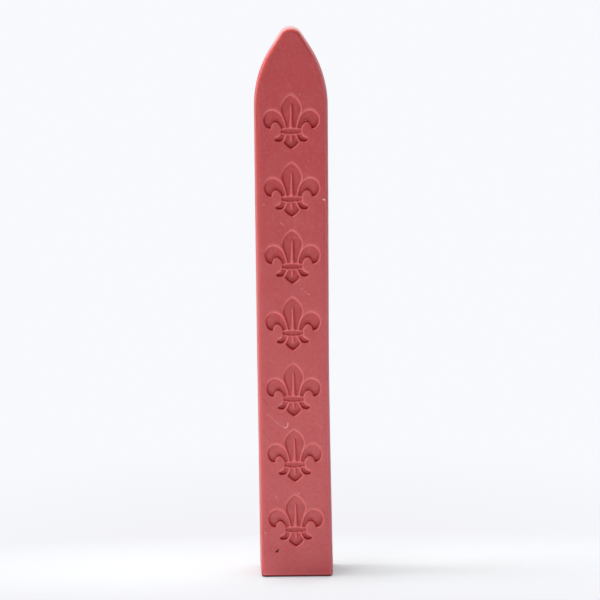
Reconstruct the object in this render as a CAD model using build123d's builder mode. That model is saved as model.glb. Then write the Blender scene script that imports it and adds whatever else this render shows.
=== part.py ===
from build123d import *
from math import cos, radians, sin, tan
import os

# Wickless sealing wax stick: one casting with a pointed top and a row of impressed fleurs-de-lis.
# Frame: origin in the middle of the base, +Z up the stick, moulded face towards -Y, plain back +Y.

# Driving dimensions of the stick, in millimetres and degrees
stick_length = 90.0
stick_width = 12.0  # across the plain back, where it is widest
stick_thickness = 8.0  # from the plain back to the moulded face
draft_angle = 2.5  # lean of the sides from the back in to the face
shoulder_radius = 18.0
flank_angle = 32.0  # straight flanks of the point, from the vertical
nose_radius = 2.0
base_corner_radius = 0.65
face_edge_radius = 0.45
back_edge_radius = 0.25

# Driving dimensions of the impressed row
side_margin = 1.31  # plain face left beside each motif
motif_gap = 2.32  # plain face left between two motifs
base_margin = 5.14  # plain face left below the lowest motif
relief_depth = 0.35

# One motif as it is drawn, across and up from its centre: right-hand sides of its impressions
petal_side = [(0.0, 4.46), (1.09, 3.53), (1.55, 2.16), (1.32, 1.26), (1.01, 0.28), (0.81, -0.74)]
wing_crown = [(0.99, -0.75), (1.16, 0.17), (1.68, 1.27), (3.09, 2.02),
              (4.23, 1.22), (4.34, 0.11), (3.99, -0.58), (3.2, -0.85)]
wing_arch = [(3.2, -0.85), (3.17, -0.48), (2.51, 0.14), (1.87, -0.25), (1.62, -0.94)]
collar_top = [(-1.6, -1.07), (0.0, -0.88), (1.6, -1.07)]
collar_bottom = [(1.68, -1.52), (0.0, -1.72), (-1.68, -1.52)]
curl_inner = [(0.93, -1.82), (1.03, -2.2), (1.5, -2.84), (2.13, -2.96), (2.64, -2.68)]
curl_outer = [(2.64, -2.68), (2.26, -2.37), (1.79, -2.06), (1.71, -1.68)]
leaf_side = [(0.64, -1.87), (0.96, -2.54), (1.19, -3.09)]
leaf_foot = [(1.19, -3.09), (0.65, -3.69), (0.0, -4.12)]

# Ribs left standing in the petal and in the leaf: half width at the root, and height of the tip
petal_rib = (0.27, 2.87)
leaf_rib = (0.14, -2.82)
rib_tip_radius = 0.07

# Sizes that follow
half_width = stick_width / 2
draft_run = stick_thickness * tan(radians(draft_angle))
lean = radians(flank_angle)
flank_top = (nose_radius * cos(lean), stick_length - nose_radius * (1 - sin(lean)))
flank_foot = half_width - shoulder_radius * (1 - cos(lean))
shoulder = flank_top[1] - (flank_foot - flank_top[0]) / tan(lean) - shoulder_radius * sin(lean)
motif_scale = (half_width - draft_run - side_margin) / max(x for x, z in wing_crown)
motif_rise = motif_scale * petal_side[0][1]
motif_drop = motif_scale * -leaf_foot[-1][1]
motif_pitch = motif_rise + motif_drop + motif_gap
lowest_motif = base_margin + motif_drop
motif_count = int((shoulder - lowest_motif) / motif_pitch) + 1
motif_places = [(0, lowest_motif + motif_pitch * n) for n in range(motif_count)]

back_plane = Plane.XZ.offset(-stick_thickness / 2)
face_plane = Plane.XZ.offset(stick_thickness / 2)

os.makedirs("parts", exist_ok=True)


def standing_rib(root, half_width_at_root, tip):
    """Leave a tapering rib with a round tip standing in an impression."""
    right = [(half_width_at_root, root), (rib_tip_radius, tip)]
    left = [(-x, z) for x, z in reversed(right)]
    Polygon(*right, *left, align=None, mode=Mode.SUBTRACT)
    with Locations((0, tip)):
        Circle(rib_tip_radius, mode=Mode.SUBTRACT)


# One motif of seven impressions: petal, two wings, collar, two curls and leaf
with BuildSketch() as motif:
    with BuildLine():
        Spline(petal_side)
        mirror(about=Plane.YZ)
        Line(petal_side[-1], (-petal_side[-1][0], petal_side[-1][1]))
    make_face()
    standing_rib(petal_side[-1][1], *petal_rib)

    with BuildLine():
        Spline(leaf_side)
        Spline(leaf_foot)
        mirror(about=Plane.YZ)
        Line(leaf_side[0], (-leaf_side[0][0], leaf_side[0][1]))
    make_face()
    standing_rib(leaf_side[0][1], *leaf_rib)

    with BuildLine():
        Spline(wing_crown)
        Spline(wing_arch)
        Line(wing_arch[-1], wing_crown[0])
    make_face()

    with BuildLine():
        Spline(curl_inner)
        Spline(curl_outer)
        Line(curl_outer[-1], curl_inner[0])
    make_face()
    mirror(about=Plane.YZ)

    with BuildLine():
        ThreePointArc(collar_top)
        ThreePointArc(collar_bottom)
        Line(collar_top[-1], collar_bottom[0])
        Line(collar_bottom[-1], collar_top[0])
    make_face()
    scale(by=motif_scale)

# The casting: a drafted pointed bar on a flat base, with softened edges and the impressed row
with BuildPart() as wax_stick:
    for plane, inset in ((back_plane, 0), (face_plane, draft_run)):
        with BuildSketch(plane):
            with BuildLine():
                side = Line((half_width - inset, -half_width), (half_width - inset, shoulder))
                bend = JernArc(side @ 1, side % 1, shoulder_radius - inset, flank_angle)
                nose_end = (0, stick_length - inset)
                nose = JernArc(nose_end, (1, 0), nose_radius - inset, flank_angle - 90)
                Line(bend @ 1, nose @ 1)
                mirror(about=Plane.YZ)
                Line(side @ 0, (inset - half_width, -half_width))
            make_face()
    loft(ruled=True)
    split(bisect_by=Plane.XY, keep=Keep.TOP)

    base_edges = wax_stick.faces().sort_by(Axis.Z)[0].edges().sort_by(Axis.X)
    fillet([base_edges[0], base_edges[-1]], base_corner_radius)
    fillet(wax_stick.faces().sort_by(Axis.Y)[0].edges(), face_edge_radius)
    fillet(wax_stick.faces().sort_by(Axis.Y)[-1].edges(), back_edge_radius)

    with BuildSketch(face_plane):
        with Locations(*motif_places):
            add(motif.sketch)
    extrude(amount=-relief_depth, mode=Mode.SUBTRACT)

wax_stick.part.label = "wax_stick"
export_step(wax_stick.part, "parts/wax_stick.step")
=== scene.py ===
from math import asin, cos, radians, sin, tan

import bmesh
import bpy
import numpy as np
from mathutils import Matrix, Vector
from mathutils.bvhtree import BVHTree


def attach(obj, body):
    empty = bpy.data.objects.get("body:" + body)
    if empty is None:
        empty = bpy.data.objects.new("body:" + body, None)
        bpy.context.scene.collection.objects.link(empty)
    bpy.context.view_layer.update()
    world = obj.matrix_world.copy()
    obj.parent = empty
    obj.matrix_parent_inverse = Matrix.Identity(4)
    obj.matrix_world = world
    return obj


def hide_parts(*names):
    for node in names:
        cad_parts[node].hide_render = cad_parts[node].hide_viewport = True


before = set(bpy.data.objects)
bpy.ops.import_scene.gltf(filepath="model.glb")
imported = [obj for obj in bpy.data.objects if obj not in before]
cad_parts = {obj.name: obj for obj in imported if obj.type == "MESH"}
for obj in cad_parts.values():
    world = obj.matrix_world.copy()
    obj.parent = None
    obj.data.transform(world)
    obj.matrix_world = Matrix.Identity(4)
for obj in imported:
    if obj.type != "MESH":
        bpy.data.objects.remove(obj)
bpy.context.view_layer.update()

# A wickless sealing wax stick, standing on a white table in soft light from the left.
# Shapes are worked out in millimetres in the frame of the part and turned into metres at the end.
MM = 0.001

# Sizes of the casting, as in the part
LENGTH = 90.0
WIDTH = 12.0
THICKNESS = 8.0
DRAFT = radians(2.5)
SHOULDER_RADIUS = 18.0
FLANK = radians(32.0)
NOSE_RADIUS = 2.0
BASE_CORNER = 0.65
FACE_EDGE = 0.45
BACK_EDGE = 0.25
RELIEF_DEPTH = 0.35

# How finely the casting is meshed
RELIEF_STEP = 0.03
LAST_CELL = 1.001  # steps from the end of the relief's grid that keep a reading inside its last cell
GRID_STEP = 0.2
FINE_CUTS = 2
CORNER_STEPS = 5
NOSE_STEPS = 12
EDGE_STEPS = 5
WALL_STEP = 0.8
COARSE_EVERY = 3
MERGE_REACH = 1e-4
FLATNESS = 1e-5

# Where the mesh is cut finer: this far around the walls of the impressions and the marks, where a wall
# is what stands off the blurred relief by a share of its depth
DETAIL_REACH = 0.12
WALL_LOOK = (0.0, 0.0, 0.12)
WALL_SHARE = 0.0216
LEAST_BUSY = 0.02
LEAST_COVER = 0.3

# Softening of the impressions: half the run of their sloping walls, a last small blur, and the depth
# under which the face counts as flat
WALL_HALF_RUN = 0.11
LIP_BLUR = 0.03
LEAST_DEPTH = 0.05

# Painted light and shade round the impressions: a painted highlight on their lips (LIP), painted glints
# at their lower right edges (GLINT), painted red bounce light on their shaded walls (FLUSH) and painted
# shade in their creases and lower floors (CREASE, GLOOM). Each gives how far the eye looks across and up
# from a point of the face, how widely it looks there, and the shares of the depth at which the look
# starts and by which it grows
LIP = (0.04, -0.38, 0.11, 0.0, 1.4)
GLINT = (-0.05, 0.05, 0.035, 0.0, 0.46)
FLUSH = (-0.047, -0.034, 0.03, 0.0, 0.5)
CREASE = (0.0, -0.22, 0.11, 0.49, 0.48)
GLOOM = (0.13, -0.6, 0.28, 0.15, 1.45)

# How the real casting strays from straight: it bows to the right towards its base, swells a little,
# and flares at the foot of its face
BOW = 0.3
BOW_HEIGHT = 36.0
BOW_POWER = 1.2
SWELL_HEIGHTS = (0.0, 10.0, 20.0, 32.0, 60.0, 90.0)
SWELL = (0.11, 0.06, 0.0, -0.03, 0.04, 0.05)
FOOT_FLARE = 0.2
FOOT_FLARE_HEIGHT = 1.0

# Waves in its face and back: how fast each turns with the height and across, and where it starts
WAVE_DEPTH = 0.012
WAVES = ((0.9, 0.35, 0.0), (0.37, -0.8, 1.0), (0.21, 0.5, 2.3))

# Marks on the face, as strokes of a half width and a strength through points across and up the face.
# The pale ones stand a little proud
HAIR = [(-4.42, 27.45), (-3.68, 26.7), (-2.94, 25.95), (-2.24, 25.4), (-1.64, 25.1)]
HOOK = [(-1.64, 25.1), (-1.38, 25.06), (-1.19, 25.22), (-1.09, 25.48), (-1.07, 25.84)]
SCUFFS = [
    (0.07, 0.13, HAIR),
    (0.09, 0.4, HOOK),
    (0.08, 0.05, [(1.5, 47.89), (2.72, 47.0)]),
    (0.08, 0.2, [(2.35, 47.05), (2.75, 47.0)]),
    (0.08, 0.2, [(-3.3, 13.6), (-3.0, 13.35)]),
    (0.08, 0.2, [(-1.87, 58.65), (-1.44, 58.33)]),
    (0.09, 0.06, [(3.42, 26.36), (3.66, 25.59), (4.53, 25.13)]),
    (0.09, 0.9, [(5.0, 62.4), (5.2, 62.3)]),
]
PALE_SPECKS = [
    (0.09, 0.3, [(1.5, 47.89)]),
    (0.1, 0.4, [(-4.48, 61.61)]),
    (0.09, 0.35, [(0.26, 56.2)]),
    (0.1, 0.3, [(1.34, 79.23)]),
    (0.1, 0.15, [(-0.4, 80.6)]),
    (0.09, 0.5, [(0.47, 14.11)]),
    (0.1, 0.5, [(-5.0, 7.5)]),
]
DARK_SPECKS = [
    (0.18, 1.0, [(-3.25, 4.34), (-3.15, 4.41)]),
    (0.11, 1.0, [(-3.15, 4.44), (-2.95, 4.66)]),
    (0.1, 0.35, [(-4.03, 69.41)]),
    (0.1, 0.3, [(1.82, 79.07)]),
]
WRINKLES = [
    (0.09, 0.2, [(-5.2, 29.9), (-4.03, 28.59)]),
    (0.08, 0.14, [(-5.2, 32.2), (-4.35, 32.07)]),
    (0.08, 0.14, [(-4.54, 28.09), (-3.78, 28.34)]),
    (0.09, 0.18, [(-2.98, 27.44), (-1.81, 27.18), (-1.3, 27.67)]),
    (0.08, 0.14, [(3.98, 33.26), (4.62, 33.56)]),
    (0.09, 0.18, [(-5.2, 24.54), (-4.24, 23.13)]),
    (0.08, 0.16, [(2.11, 22.3), (2.99, 22.22), (4.12, 22.41), (5.2, 22.26)]),
]
PALE_STROKES = SCUFFS + PALE_SPECKS
DARK_STROKES = DARK_SPECKS + WRINKLES
PALE_HEIGHT = 0.02

# Painted light: the face is painted paler a little in from its left edge, where it starts to turn to the
# window
GLOW = 0.35
GLOW_REACH = 0.6

# The rim of the face is painted light, warm towards the tip; it reaches a little further over the wall
# at the tip, but not on its right
TIP_HEIGHTS = (74.0, 84.0)
TIP_ACROSS = (1.0, 2.0)
TIP_RIM_REACH = 0.2

# The lower edge of the face, with a painted highlight where it starts to turn under and painted shade
# below that
FOOT_LIP = 0.35
FOOT_LIP_HEIGHT = 0.5
FOOT_LIP_REACH = 0.13
FOOT_SHADE = (0.25, 0.43)

# Sizes that follow
HALF = WIDTH / 2
FACE_Y = -THICKNESS / 2
BACK_Y = THICKNESS / 2
DRAFT_RUN = THICKNESS * tan(DRAFT)
EDGE_RUN = FACE_EDGE * tan(radians(45) - DRAFT / 2)
BACK_RUN = BACK_EDGE * tan(radians(45) + DRAFT / 2)
FACE_INSET = DRAFT_RUN + EDGE_RUN
NOSE_HEIGHT = LENGTH - NOSE_RADIUS
FLANK_LENGTH = (HALF - SHOULDER_RADIUS * (1 - cos(FLANK)) - NOSE_RADIUS * cos(FLANK)) / sin(FLANK)
SHOULDER = NOSE_HEIGHT + (NOSE_RADIUS - SHOULDER_RADIUS) * sin(FLANK) - FLANK_LENGTH * cos(FLANK)


class Relief:
    """The impressions in the face, read from the frame's solid on a fine grid and softened."""

    def __init__(self):
        right = np.arange(0, HALF - FACE_INSET, RELIEF_STEP)
        self.across = np.hstack([-right[:0:-1], right])
        self.up = np.arange(0, SHOULDER + SHOULDER_RADIUS * sin(FLANK), RELIEF_STEP)
        half = self.cast(right)
        whole = np.hstack([half[:, :0:-1], half])
        self.depth = soften(whole, disc(WALL_HALF_RUN), bell(LIP_BLUR))
        # Painted highlights and glints, painted red bounce light on shaded walls, painted shade in
        # creases
        self.looks = {
            "deep": self.depth / RELIEF_DEPTH,
            "lip": np.clip(self.look(1, *LIP) + self.look(1, *GLINT), 0, 1),
            "flush": self.look(-1, *FLUSH),
            "crease": np.clip(self.look(-1, *CREASE) + self.look(-1, *GLOOM), 0, 1),
        }
        walls = np.abs(self.standing(*WALL_LOOK)) > WALL_SHARE
        self.busy = soften(walls.astype(float), disc(DETAIL_REACH))

    def cast(self, across):
        """Cast rays at the right half of the face and give the depth at which they land."""
        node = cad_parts["wax_stick"].data
        tree = BVHTree.FromPolygons([v.co for v in node.vertices], [p.vertices for p in node.polygons])
        depth = np.zeros((len(self.up), len(across)))
        inwards = Vector((0, 1, 0))
        for row, z in enumerate(self.up):
            if z < BASE_CORNER:
                continue
            for column in np.flatnonzero(across < face_station(z)[0]):
                start = Vector((across[column], 2 * FACE_Y, z)) * MM
                depth[row, column] = tree.ray_cast(start, inwards)[0].y / MM - FACE_Y
        depth[depth < LEAST_DEPTH] = 0
        return depth

    def standing(self, across, up, reach):
        """How far each point of the face stands above the place that the eye looks at from there."""
        return (soften(self.depth, bell(reach, across, up)) - self.depth) / RELIEF_DEPTH

    def look(self, side, across, up, reach, start, growth):
        """How strongly a look shows on points above (1) or below (-1) the place that the eye looks at."""
        return np.clip((side * self.standing(across, up, reach) - start) / growth, 0, 1)

    def sample(self, grid, x, z):
        """Read a grid between its points."""
        column = np.clip((x - self.across[0]) / RELIEF_STEP, 0, len(self.across) - LAST_CELL)
        row = np.clip((z - self.up[0]) / RELIEF_STEP, 0, len(self.up) - LAST_CELL)
        c, r = column.astype(int), row.astype(int)
        s, t = column - c, row - r
        low = grid[r, c] * (1 - s) + grid[r, c + 1] * s
        high = grid[r + 1, c] * (1 - s) + grid[r + 1, c + 1] * s
        return low * (1 - t) + high * t


def disc(radius):
    """A blur that spreads each point evenly over a disc."""
    return lambda x, z: np.clip((radius - np.hypot(x, z)) / RELIEF_STEP + 0.5, 0, 1)


def bell(radius, across=0.0, up=0.0):
    """A blur that spreads each point in a bell, and can look at a place a little off."""
    return lambda x, z: np.exp(-0.5 * ((x + across) ** 2 + (z + up) ** 2) / radius ** 2)


def soften(grid, *blurs):
    """Blur a grid with each of the given blurs."""
    z, x = np.meshgrid(*[np.fft.fftfreq(n, 1 / (n * RELIEF_STEP)) for n in grid.shape], indexing="ij")
    spectrum = np.fft.rfft2(grid)
    for blur in blurs:
        kernel = blur(x, z)
        spectrum = spectrum * np.fft.rfft2(kernel / kernel.sum())
    return np.fft.irfft2(spectrum, grid.shape)


def stroke_cover(strokes, x, z):
    """How strongly each point is covered by the strokes."""
    cover = np.zeros_like(x)
    for width, strength, line in strokes:
        ends = line[1:] or line
        for (x0, z0), (x1, z1) in zip(line, ends):
            run = (x1 - x0) ** 2 + (z1 - z0) ** 2
            along = ((x - x0) * (x1 - x0) + (z - z0) * (z1 - z0)) / run if run else 0.0
            along = np.clip(along, 0, 1)
            away = np.hypot(x - x0 - along * (x1 - x0), z - z0 - along * (z1 - z0))
            cover = np.maximum(cover, strength * np.exp(-(away / width) ** 4))
    return cover


def face_station(z):
    """Half width of the flat of the face at a height, and the angle at which its outline looks out."""
    bend = SHOULDER_RADIUS - FACE_INSET
    if z <= SHOULDER:
        return HALF - FACE_INSET, 0.0
    if z - SHOULDER < bend * sin(FLANK):
        turn = asin((z - SHOULDER) / bend)
        return HALF - SHOULDER_RADIUS + bend * cos(turn), turn
    rise = z - SHOULDER - bend * sin(FLANK)
    return HALF - SHOULDER_RADIUS + bend * cos(FLANK) - rise * tan(FLANK), FLANK


def face_rows():
    """Rows of the flat of the face from base to apex: half width, height and outward angle."""
    corner = BASE_CORNER - EDGE_RUN
    inner = HALF - DRAFT_RUN - BASE_CORNER
    nose = NOSE_RADIUS - FACE_INSET
    rows = []
    for turn in np.linspace(radians(-90), 0, CORNER_STEPS, endpoint=False):
        rows.append((inner + corner * cos(turn), BASE_CORNER + corner * sin(turn), turn))
    top = NOSE_HEIGHT + nose * sin(FLANK)
    count = round((top - BASE_CORNER) / GRID_STEP)
    for z in np.linspace(BASE_CORNER, top, count, endpoint=False):
        width, turn = face_station(z)
        rows.append((width, z, turn))
    for turn in np.linspace(FLANK, radians(90), NOSE_STEPS + 1):
        rows.append((nose * cos(turn), NOSE_HEIGHT + nose * sin(turn), turn))
    rows[-1] = (0.0, NOSE_HEIGHT + nose, radians(90))
    return np.array(rows)


class Shell:
    """Points and faces of a mesh while it is put together."""

    def __init__(self):
        self.points = []
        self.faces = []
        self.count = 0

    def add(self, points):
        """Add an array of points and return their numbers in the same arrangement."""
        points = np.asarray(points, float)
        numbers = np.arange(points[..., 0].size).reshape(points.shape[:-1]) + self.count
        self.points.append(points.reshape(-1, 3))
        self.count += numbers.size
        return numbers

    def sheet(self, half_widths, heights, shares, y):
        """Add the points of a flat sheet at y, whose rows are spread over shares of their half widths."""
        x = half_widths[:, None] * shares
        z = np.repeat(heights[:, None], len(shares), axis=1)
        return self.add(np.stack([x, np.full_like(x, y), z], -1))

    def fill(self, numbers, flip=False):
        """Fill a rectangular arrangement of points with faces."""
        a, b, c, d = numbers[:-1, :-1], numbers[:-1, 1:], numbers[1:, 1:], numbers[1:, :-1]
        quads = np.stack([a, b, c, d], -1).reshape(-1, 4)
        self.faces += (quads[:, ::-1] if flip else quads).tolist()


def around(sheet):
    """The border of a sheet of points, down the left, along the base and up the right."""
    return np.hstack([sheet[::-1, 0], sheet[0, 1:-1], sheet[:, -1]])


def border_ways(rows, columns):
    """For each point round the face, where it looks out and how far its wall drifts to the back."""
    turns = rows[:, 2]
    looks = np.stack([np.cos(turns), np.sin(turns)], -1)
    drifts = np.where(turns[:, None] > 0, looks, [1.0, 0.0]) * DRAFT_RUN
    flip = np.array([-1.0, 1.0])
    inner = columns[1:-1]
    below = np.tile([0.0, -1.0], (len(inner), 1))
    across = np.stack([inner * DRAFT_RUN, np.zeros(len(inner))], -1)
    looks = np.vstack([(looks * flip)[::-1], below, looks])
    drifts = np.vstack([(drifts * flip)[::-1], across, drifts])
    return looks, drifts


def rounded(start, y, looks, run, sweep, inwards):
    """Rings of points round an edge, from a flat at y over to the wall."""
    radius = run / np.tan(sweep / 2)
    rings = []
    for step in range(1, EDGE_STEPS + 1):
        turn = sweep * step / EDGE_STEPS
        out = start + (radius * np.sin(turn))[:, None] * looks
        depth = y + inwards * radius * (1 - np.cos(turn))
        rings.append(np.stack([out[:, 0], depth, out[:, 1]], -1))
    return rings


def coarse_choice(rows, columns):
    """Rows and columns that the walls and the back keep, and their places along the face's border."""
    last_row, last_column = len(rows) - 1, len(columns) - 1
    corner = range(CORNER_STEPS + 1)
    nose = range(last_row - NOSE_STEPS, last_row + 1)
    kept_rows = np.array(sorted({*range(0, last_row, COARSE_EVERY), *corner, *nose}))
    kept_columns = np.array(sorted({*range(0, last_column, COARSE_EVERY), last_column}))
    left = last_row - kept_rows[::-1]
    base = last_row + kept_columns[1:-1]
    right = last_row + last_column + kept_rows
    return kept_rows, kept_columns, np.hstack([left, base, right])


def add_walls(shell, edge, kept, near, over):
    """The walls, from the near points at the face's edge to the rings of points over the back's edge."""
    steps = round(THICKNESS / WALL_STEP)
    between = [near + (over[-1] - near) * step / steps for step in range(1, steps)]
    walls = shell.add(np.stack(between + over[::-1]))
    for k, (a, b) in enumerate(zip(kept[:-1], kept[1:])):
        shell.faces.append([walls[0, k], walls[0, k + 1], *edge[a:b + 1][::-1].tolist()])
    return walls


def casting_shell():
    """The whole casting as one closed shell, with a face that is still flat."""
    rows = face_rows()
    columns = np.linspace(-1, 1, 2 * round((HALF - FACE_INSET) / GRID_STEP) + 1)
    shell = Shell()
    face = shell.sheet(rows[:, 0], rows[:, 1], columns, FACE_Y)
    shell.fill(face)

    looks, drifts = border_ways(rows, columns)
    lean = np.arctan((looks * drifts).sum(1) / THICKNESS)
    start = np.vstack(shell.points)[around(face)][:, [0, 2]]
    rings = rounded(start, FACE_Y, looks, EDGE_RUN, radians(90) - lean, 1)
    edge = np.vstack([around(face)[None], shell.add(np.stack(rings))])
    shell.fill(edge, flip=True)

    kept_rows, kept_columns, kept = coarse_choice(rows, columns)
    end = (start + looks * (EDGE_RUN - BACK_RUN) + drifts)[kept]
    over = rounded(end, BACK_Y, looks[kept], BACK_RUN, radians(90) + lean[kept], -1)
    walls = add_walls(shell, edge[-1], kept, rings[-1][kept], over)

    right = end[-len(kept_rows):]
    back = shell.sheet(right[:, 0], right[:, 1], columns[kept_columns], BACK_Y)
    shell.fill(back, flip=True)
    shell.fill(np.vstack([walls, around(back)[None]]), flip=True)
    return shell


def refined_mesh(relief):
    """The shell as a mesh, cut finer where the face has impressions or marks."""
    shell = casting_shell()
    mesh = bpy.data.meshes.new("wax_casting")
    mesh.from_pydata(np.vstack(shell.points).tolist(), [], shell.faces)
    work = bmesh.new()
    work.from_mesh(mesh)
    bmesh.ops.remove_doubles(work, verts=work.verts, dist=MERGE_REACH)
    flat = [f for f in work.faces if all(abs(v.co.y - FACE_Y) < FLATNESS for v in f.verts)]
    middles = np.array([f.calc_center_median() for f in flat])
    x, z = middles[:, 0], middles[:, 2]
    strokes = [(width + DETAIL_REACH, 1.0, line) for width, _, line in PALE_STROKES + DARK_STROKES]
    busy = relief.sample(relief.busy, x, z) > LEAST_BUSY
    busy |= stroke_cover(strokes, x, z) > LEAST_COVER
    edges = {edge for face, fine in zip(flat, busy) if fine for edge in face.edges}
    bmesh.ops.subdivide_edges(work, edges=list(edges), cuts=FINE_CUTS, use_grid_fill=True)
    bmesh.ops.recalc_face_normals(work, faces=work.faces)
    work.to_mesh(mesh)
    work.free()
    return mesh


def strayed(points):
    """Let the straight casting bow, swell and wave a little, as the real one does."""
    x, y, z = points.T
    bow = BOW * np.clip(1 - z / BOW_HEIGHT, 0, 1) ** BOW_POWER
    swell = np.interp(z, SWELL_HEIGHTS, SWELL) * x / HALF
    flare = FOOT_FLARE * np.exp(-(z / FOOT_FLARE_HEIGHT) ** 2) * (BACK_Y - y) / THICKNESS * x / HALF
    wave = sum(np.sin(z * rise + x * across + start) for rise, across, start in WAVES)
    return np.stack([x + bow + swell + flare, y + WAVE_DEPTH * wave * np.clip(z, 0, 1), z], -1)


def point_fields(relief, points):
    """What the material reads on each point: how strongly each look, mark and rim shows there."""
    x, y, z = points.T
    flat = np.abs(y - FACE_Y) < FLATNESS
    tip = np.interp(z, TIP_HEIGHTS, (0, 1)) * np.interp(x, TIP_ACROSS, (1, 0))
    reach = FACE_EDGE + TIP_RIM_REACH * tip
    near_face = np.clip((FACE_Y + 2 * reach - y) / reach, 0, 1)
    foot_lip = FOOT_LIP * np.exp(-((z - FOOT_LIP_HEIGHT) / FOOT_LIP_REACH) ** 2) * near_face
    rows = face_rows()
    inside = x + np.interp(z, rows[:, 1], rows[:, 0])

    # The looks are painted light and shade round the impressions
    fields = {name: relief.sample(grid, x, z) * flat for name, grid in relief.looks.items()}
    # A painted highlight where the face's lower edge starts to turn under
    fields["lip"] = np.maximum(fields["lip"], foot_lip)
    fields["pale"] = stroke_cover(PALE_STROKES, x, z) * flat
    fields["dark"] = stroke_cover(DARK_STROKES, x, z) * flat
    # Painted light in from the face's left edge
    fields["glow"] = GLOW * np.clip(1 - inside / GLOW_REACH, 0, 1) * (1 - tip) * flat
    # Painted light on the face's rounded rim
    fields["rim"] = near_face * ~flat
    fields["wall"] = (~flat).astype(float)
    # Painted shade under the face's lower edge
    fields["foot"] = np.interp(z, FOOT_SHADE, (1, 0))
    return fields


def add_object(name, data):
    """A new object in the scene."""
    thing = bpy.data.objects.new(name, data)
    bpy.context.collection.objects.link(thing)
    return thing


def make_casting(material):
    """The wax stick as one piece, with its impressions, and what the material reads on its points."""
    relief = Relief()
    mesh = refined_mesh(relief)
    points = np.empty(len(mesh.vertices) * 3)
    mesh.vertices.foreach_get("co", points)
    points = points.reshape(-1, 3)
    fields = point_fields(relief, points)
    points[:, 1] += RELIEF_DEPTH * fields["deep"] - PALE_HEIGHT * fields["pale"]
    mesh.vertices.foreach_set("co", (strayed(points) * MM).ravel())
    for name, values in fields.items():
        mesh.attributes.new(name, "FLOAT", "POINT").data.foreach_set("value", values)
    mesh.shade_smooth()
    mesh.materials.append(material)
    piece = add_object("wax_casting", mesh)
    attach(piece, "root")
    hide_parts("wax_stick")


class Nodes:
    """Short ways to add and link shader nodes."""

    def __init__(self, tree):
        self.tree = tree
        tree.nodes.clear()

    def add(self, kind, inputs=None, **settings):
        """Add a node, set its properties, and set or link its inputs, by name or by number."""
        node = self.tree.nodes.new(kind)
        for name, value in settings.items():
            setattr(node, name, value)
        for name, value in (inputs or {}).items():
            if isinstance(value, bpy.types.NodeSocket):
                self.tree.links.new(value, node.inputs[name])
            else:
                node.inputs[name].default_value = value
        return node

    def place(self):
        """Where a point is in its object, in metres."""
        return self.add("ShaderNodeTexCoord").outputs["Object"]

    def attribute(self, name):
        """A value kept on the points of the mesh."""
        return self.add("ShaderNodeAttribute", attribute_name=name).outputs["Fac"]

    def noise(self, place, scale, detail, roughness):
        """Cloudy noise of a given fineness per metre."""
        inputs = {"Vector": place, "Scale": scale, "Detail": detail, "Roughness": roughness}
        return self.add("ShaderNodeTexNoise", inputs).outputs[0]

    def span(self, value, low, high, to_low=0.0, to_high=1.0):
        """Stretch a range of a value to another range."""
        inputs = {"Value": value, "From Min": low, "From Max": high, "To Min": to_low, "To Max": to_high}
        return self.add("ShaderNodeMapRange", inputs).outputs[0]

    def math(self, operation, first, second):
        """Work out a value from two others."""
        return self.add("ShaderNodeMath", {0: first, 1: second}, operation=operation).outputs[0]

    def vector(self, operation, first, second):
        """Work out a vector from two others."""
        inputs = {0: first, 1: second}
        return self.add("ShaderNodeVectorMath", inputs, operation=operation).outputs["Vector"]

    def dot(self, first, second):
        """How far one vector reaches along another."""
        inputs = {0: first, 1: second}
        return self.add("ShaderNodeVectorMath", inputs, operation="DOT_PRODUCT").outputs["Value"]

    def length(self, vector):
        """The length of a vector."""
        return self.add("ShaderNodeVectorMath", {0: vector}, operation="LENGTH").outputs["Value"]

    def mix(self, share, first, second):
        """Mix two colours by a share; a mix node has sockets for numbers and vectors before these."""
        return self.add("ShaderNodeMix", {0: share, 6: first, 7: second}, data_type="RGBA").outputs[2]

    def blend(self, share, first, second):
        """Mix two shaders by a share."""
        inputs = {0: share, 1: first.outputs[0], 2: second.outputs[0]}
        return self.add("ShaderNodeMixShader", inputs)


def new_material(name):
    """A material, and short ways to fill it with nodes."""
    material = bpy.data.materials.new(name)
    material.use_nodes = True
    return material, Nodes(material.node_tree)


# Colours of the wax, in linear light
FACE_COLOUR = (0.445, 0.079, 0.085, 1)
DEEP_COLOUR = (0.425, 0.069, 0.074, 1)
# A pale colour for dust and random tone, and for painted bounce light low down
DUST_AND_BOUNCE_COLOUR = (0.48, 0.107, 0.114, 1)
RICH_COLOUR = (0.425, 0.056, 0.062, 1)
# Painted highlight on lips, painted red bounce light on shaded walls, painted shade in creases
LIP_HIGHLIGHT_COLOUR = (0.62, 0.168, 0.173, 1)
FLUSH_BOUNCE_COLOUR = (0.676, 0.011, 0.018, 1)
CREASE_SHADE_COLOUR = (0.225, 0.002, 0.003, 1)
# Painted light on the face's rim: warm towards the tip, and a shaded copy on the right
RIM_COLOUR = (0.485, 0.099, 0.096, 1)
TIP_RIM_COLOUR = (0.41, 0.06, 0.05, 1)
SHADED_RIM_COLOUR = (0.55, 0.13, 0.152, 1)
# Painted light in from the face's left edge
GLOW_COLOUR = (0.56, 0.1, 0.11, 1)
# Painted light and shade at the foot: lit on its left, shaded on its right, and shade under its lower
# edge
LIT_FOOT_COLOUR = (0.56, 0.116, 0.135, 1)
SHADED_FOOT_COLOUR = (0.4, 0.06, 0.07, 1)
FOOT_COLOUR = (0.1, 0.007, 0.007, 1)
SCUFF_COLOUR = (0.85, 0.6, 0.6, 1)
SPECK_COLOUR = (0.012, 0.003, 0.003, 1)

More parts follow.
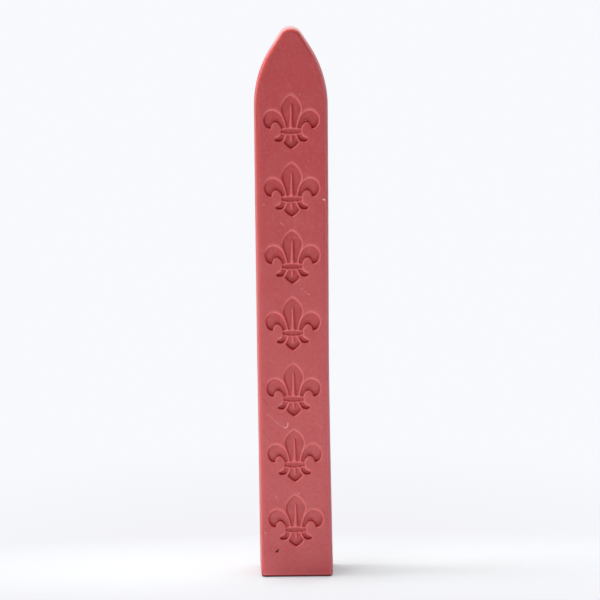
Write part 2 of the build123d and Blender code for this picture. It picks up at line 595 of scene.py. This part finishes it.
# How the wax is mottled. A noise is a fineness per metre, a detail and a roughness; a mottle is how far
# the noise has to stray from its middle, and the share of the colour that it then brings in
NOISE_MIDDLE = 0.5
CLOUDS = (260.0, 4.0, 0.6)
CLOUD_MOTTLE = (0.25, 0.5)
GRAIN = (2600.0, 2.0, 0.5)
GRAIN_MOTTLE = (0.18, 0.35)
DUST_SCALE = 450.0
DUST_SIZE = (0.07, 0.035)

# Places, in metres, between which a colour comes in, and the largest share that it reaches
# Painted light from the table makes the face paler low down, and painted shade makes it richer high up
BOUNCE_LIGHT_HEIGHTS = (0.05, 0.02)
BOUNCE_LIGHT_SHARE = 0.5
RICH_HEIGHTS = (0.05, 0.07)
RICH_SHARE = 0.75
# Where the painted light and shade at the foot and on the rim come in
FOOT_HEIGHTS = (0.0042, 0.0005)
LIT_FOOT_ACROSS = (-0.0025, -0.005)
SHADED_FOOT_ACROSS = (-0.0025, 0.005)
TIP_RIM_HEIGHTS = (0.05, 0.076)
SHADED_RIM_ACROSS = (0.002, 0.005)
RIM_SHARE = 0.9

# The skin turns smoother between two places along a slant: towards the tip, and further down on the left
# and at the back. The pairs after those two places go from the body to the tip
POLISH_SLANT = (-0.45, 0.5, 1.0)
POLISHED = (0.0862, 0.0902)
SMOOTH_PATCHES = (0.4, 0.09)
DULL_PATCHES = (0.54, 0.13)
PORE_STRENGTH = (0.25, 0.02)
WALL_DULLNESS = (0.65, 0.0)

# Patches and pores of the skin, as noises, and how light is turned back by the wax and scattered in it
PATCHES = (500.0, 3.0, 0.5)
PATCH_RANGE = (0.3, 0.7)
PORES = (1400.0, 4.0, 0.6)
PORE_DEPTH = 0.00003
SHINE = 0.3
REFRACTION = 1.44
SCATTER = 0.2
SCATTER_RADIUS = (1.0, 0.35, 0.3)
SCATTER_SCALE = 0.0002


def mottled(nodes, colour, noise, stray, share):
    """Let a noise bring dusty colour in where it is high, and rich colour where it is low."""
    high = nodes.span(noise, NOISE_MIDDLE, NOISE_MIDDLE + stray, 0.0, share)
    low = nodes.span(noise, NOISE_MIDDLE, NOISE_MIDDLE - stray, 0.0, share)
    return nodes.mix(low, nodes.mix(high, colour, DUST_AND_BOUNCE_COLOUR), RICH_COLOUR)


def plain_wax(nodes, place, height):
    """Mottled wax, deeper in the impressions, with painted bounce light low down and painted shade high
    up.
    """
    colour = nodes.mix(nodes.attribute("deep"), FACE_COLOUR, DEEP_COLOUR)
    colour = nodes.mix(nodes.span(height, *BOUNCE_LIGHT_HEIGHTS, 0.0, BOUNCE_LIGHT_SHARE), colour, DUST_AND_BOUNCE_COLOUR)
    colour = nodes.mix(nodes.span(height, *RICH_HEIGHTS, 0.0, RICH_SHARE), colour, RICH_COLOUR)
    colour = mottled(nodes, colour, nodes.noise(place, *CLOUDS), *CLOUD_MOTTLE)
    return mottled(nodes, colour, nodes.noise(place, *GRAIN), *GRAIN_MOTTLE)


def foot_and_rim(nodes, colour, across, height):
    """Lay painted light and shade over the wax at the foot and on the face's rim, for the lit and the
    shaded side.
    """
    low = nodes.span(height, *FOOT_HEIGHTS)
    lit = nodes.math("MULTIPLY", low, nodes.span(across, *LIT_FOOT_ACROSS))
    shaded = nodes.math("MULTIPLY", low, nodes.span(across, *SHADED_FOOT_ACROSS))
    colour = nodes.mix(lit, colour, LIT_FOOT_COLOUR)
    colour = nodes.mix(shaded, colour, SHADED_FOOT_COLOUR)
    rim = nodes.mix(nodes.span(height, *TIP_RIM_HEIGHTS), RIM_COLOUR, TIP_RIM_COLOUR)
    rim = nodes.mix(nodes.span(across, *SHADED_RIM_ACROSS), rim, SHADED_RIM_COLOUR)
    return nodes.mix(nodes.span(nodes.attribute("rim"), 0.0, 1.0, 0.0, RIM_SHARE), colour, rim)


def wax_colour(nodes, place):
    """Mottled red wax with painted highlights on its lips, painted red bounce light on shaded walls and
    painted shade in its creases, with scuffs and specks.
    """
    split = nodes.add("ShaderNodeSeparateXYZ", {0: place})
    across, height = split.outputs["X"], split.outputs["Z"]
    colour = plain_wax(nodes, place, height)
    colour = foot_and_rim(nodes, colour, across, height)
    # Painted light in from the face's left edge
    colour = nodes.mix(nodes.attribute("glow"), colour, GLOW_COLOUR)
    # Painted highlight on lips, painted red bounce light on shaded walls, painted shade in creases
    colour = nodes.mix(nodes.attribute("lip"), colour, LIP_HIGHLIGHT_COLOUR)
    colour = nodes.mix(nodes.attribute("flush"), colour, FLUSH_BOUNCE_COLOUR)
    colour = nodes.mix(nodes.attribute("crease"), colour, CREASE_SHADE_COLOUR)
    dots = nodes.add("ShaderNodeTexVoronoi", {"Vector": place, "Scale": DUST_SCALE})
    colour = nodes.mix(nodes.span(dots.outputs["Distance"], *DUST_SIZE), colour, DUST_AND_BOUNCE_COLOUR)
    # Painted shade under the face's lower edge
    colour = nodes.mix(nodes.attribute("foot"), colour, FOOT_COLOUR)
    colour = nodes.mix(nodes.attribute("pale"), colour, SCUFF_COLOUR)
    return nodes.mix(nodes.attribute("dark"), colour, SPECK_COLOUR)


def wax_shine(nodes, slant):
    """A soft shine that is lost in creases and dark specks, and weaker on the walls."""
    dull_wall = nodes.span(slant, *POLISHED, *WALL_DULLNESS)
    dull_wall = nodes.math("MULTIPLY", nodes.attribute("wall"), dull_wall)
    sunk = nodes.math("MAXIMUM", nodes.attribute("crease"), nodes.attribute("dark"))
    return nodes.span(nodes.math("MAXIMUM", sunk, dull_wall), 0.0, 1.0, SHINE, 0.0)


def wax_material():
    """Dusty red sealing wax with a satin skin."""
    material, nodes = new_material("red_wax")
    place = nodes.place()
    slant = nodes.dot(place, POLISH_SLANT)
    smooth = nodes.span(slant, *POLISHED, *SMOOTH_PATCHES)
    dull = nodes.span(slant, *POLISHED, *DULL_PATCHES)
    bump = nodes.add("ShaderNodeBump", {
        "Height": nodes.noise(place, *PORES),
        "Strength": nodes.span(slant, *POLISHED, *PORE_STRENGTH),
        "Distance": PORE_DEPTH,
    })
    shader = nodes.add("ShaderNodeBsdfPrincipled", {
        "Base Color": wax_colour(nodes, place),
        "Roughness": nodes.span(nodes.noise(place, *PATCHES), *PATCH_RANGE, smooth, dull),
        "IOR": REFRACTION,
        "Specular IOR Level": wax_shine(nodes, slant),
        "Normal": bump.outputs[0],
        "Subsurface Weight": SCATTER,
        "Subsurface Radius": SCATTER_RADIUS,
        "Subsurface Scale": SCATTER_SCALE,
    })
    nodes.add("ShaderNodeOutputMaterial", {"Surface": shader.outputs[0]})
    return material


# The white table and its surroundings, in metres
TABLE_RADIUS = 0.9
TABLE_SIDES = 96
TABLE_COLOUR = (0.86, 0.86, 0.86, 1)
TABLE_SEEN = (0.605, 0.625, 0.635, 1)
TABLE_WHITE = (0.9, 0.9, 0.94, 1)
TINT_REACH = (0.03, 0.1)
BACKGROUND = (0.935, 0.948, 0.98, 1)
AMBIENT_COLOUR = (1, 1, 1, 1)
AMBIENT = 0.13

# The shadow lies along a band to the right, and across that band the white comes in sooner
SHADOW_MIDDLE = (0.012, 0.003, 0.0)
SHADOW_SHAPE = (0.55, 2.2, 1.0)
FADE_REACH = (0.008, 0.05)
LEAST_FADE = 0.15


def seen_directly(nodes):
    """One for what the camera sees, straight or in a gloss, and nought for light that falls on things."""
    path = nodes.add("ShaderNodeLightPath")
    seen = path.outputs["Is Camera Ray"]
    for name in ("Is Glossy Ray", "Is Transmission Ray"):
        seen = nodes.math("MAXIMUM", seen, path.outputs[name])
    return seen


def table_material():
    """White table top that fades into the white of the background."""
    material, nodes = new_material("white_table")
    place = nodes.place()
    off = nodes.vector("SUBTRACT", place, SHADOW_MIDDLE)
    band = nodes.vector("MULTIPLY", off, SHADOW_SHAPE)
    fade = nodes.span(nodes.length(band), *FADE_REACH, LEAST_FADE, 1.0)
    tint = nodes.mix(nodes.span(nodes.length(place), *TINT_REACH), TABLE_WHITE, BACKGROUND)
    top = nodes.add("ShaderNodeBsdfDiffuse", {"Color": TABLE_COLOUR})
    shown = nodes.add("ShaderNodeBsdfDiffuse", {"Color": TABLE_SEEN})
    white = nodes.add("ShaderNodeEmission", {"Color": tint, "Strength": 1.0})
    both = nodes.blend(seen_directly(nodes), top, nodes.blend(fade, shown, white))
    nodes.add("ShaderNodeOutputMaterial", {"Surface": both.outputs[0]})
    return material


def make_table():
    """The table under the stick."""
    mesh = bpy.data.meshes.new("table")
    work = bmesh.new()
    bmesh.ops.create_circle(work, cap_ends=True, segments=TABLE_SIDES, radius=TABLE_RADIUS)
    work.to_mesh(mesh)
    work.free()
    mesh.materials.append(table_material())
    add_object("table", mesh)


def make_world():
    """White surroundings for the camera, and a dimmer even light on things."""
    world = bpy.data.worlds.new("surroundings")
    world.use_nodes = True
    nodes = Nodes(world.node_tree)
    even = nodes.add("ShaderNodeBackground", {"Color": AMBIENT_COLOUR, "Strength": AMBIENT})
    white = nodes.add("ShaderNodeBackground", {"Color": BACKGROUND, "Strength": 1.0})
    both = nodes.blend(seen_directly(nodes), even, white)
    nodes.add("ShaderNodeOutputWorld", {"Surface": both.outputs[0]})
    bpy.context.scene.world = world


# Soft lamps around the stick: degrees round from the front and up, width and height in metres, and power
LAMPS = {
    "window": (-92, 60, 0.14, 0.28, 1.8),
    "window_behind": (-112, 55, 0.25, 0.3, 0.63),
    "ceiling": (180, 86, 0.3, 0.3, 4.36),
    "fill": (-50, 8, 0.3, 0.3, 1.64),
}
LAMP_DISTANCE = 0.6
LAMP_TARGET = Vector((0, 0, 0.04))

# A pale card on the table, just outside the picture, in metres
CARD_PLACE = (0.0, -0.075, 0.002)
CARD_SIZE = 0.09
CARD_POWER = 0.011

# The camera, in degrees and millimetres, fitted to the edges and the motifs in the photograph
CAMERA_AZIMUTH = -0.62
CAMERA_HEIGHT_ANGLE = 8.17
CAMERA_ROLL = -0.48
CAMERA_TARGET = Vector((1.19, 0, 45.52))
CAMERA_DISTANCE = 359.9
CAMERA_LENS = 132.0
SENSOR_WIDTH = 36.0
CLIP_RANGE = (0.01, 50.0)  # in metres


def direction(azimuth, height_angle):
    """The direction that lies so many degrees round from the front and so many up."""
    a, e = radians(azimuth), radians(height_angle)
    return Vector((sin(a) * cos(e), -cos(a) * cos(e), sin(e)))


def make_lamp(name, azimuth, height_angle, width, height, power):
    """A soft oblong lamp that looks at the stick."""
    data = bpy.data.lights.new(name, "AREA")
    data.shape = "RECTANGLE"
    data.size = width
    data.size_y = height
    data.energy = power
    away = direction(azimuth, height_angle)
    lamp = add_object(name, data)
    lamp.location = LAMP_TARGET + away * LAMP_DISTANCE
    lamp.rotation_euler = away.to_track_quat("Z", "Y").to_euler()


def make_card():
    """The pale card, which lights the foot of the stick from below."""
    data = bpy.data.lights.new("card", "AREA")
    data.size = CARD_SIZE
    data.energy = CARD_POWER
    card = add_object("card", data)
    card.location = CARD_PLACE
    card.rotation_euler = (radians(180), 0, 0)
    card.visible_camera = False


def make_camera():
    """Stand the camera where the photograph was taken."""
    data = bpy.data.cameras.new("camera")
    data.lens = CAMERA_LENS
    data.sensor_width = SENSOR_WIDTH
    data.clip_start, data.clip_end = CLIP_RANGE
    away = direction(CAMERA_AZIMUTH, CAMERA_HEIGHT_ANGLE)
    turn = away.to_track_quat("Z", "Y").to_matrix() @ Matrix.Rotation(radians(CAMERA_ROLL), 3, "Z")
    place = (CAMERA_TARGET + away * CAMERA_DISTANCE) * MM
    camera = add_object("camera", data)
    camera.matrix_world = Matrix.Translation(place) @ turn.to_4x4()
    bpy.context.scene.camera = camera


bpy.context.scene.view_settings.view_transform = "Standard"
make_casting(wax_material())
make_table()
make_world()
for lamp_name, lamp_values in LAMPS.items():
    make_lamp(lamp_name, *lamp_values)
make_card()
make_camera()
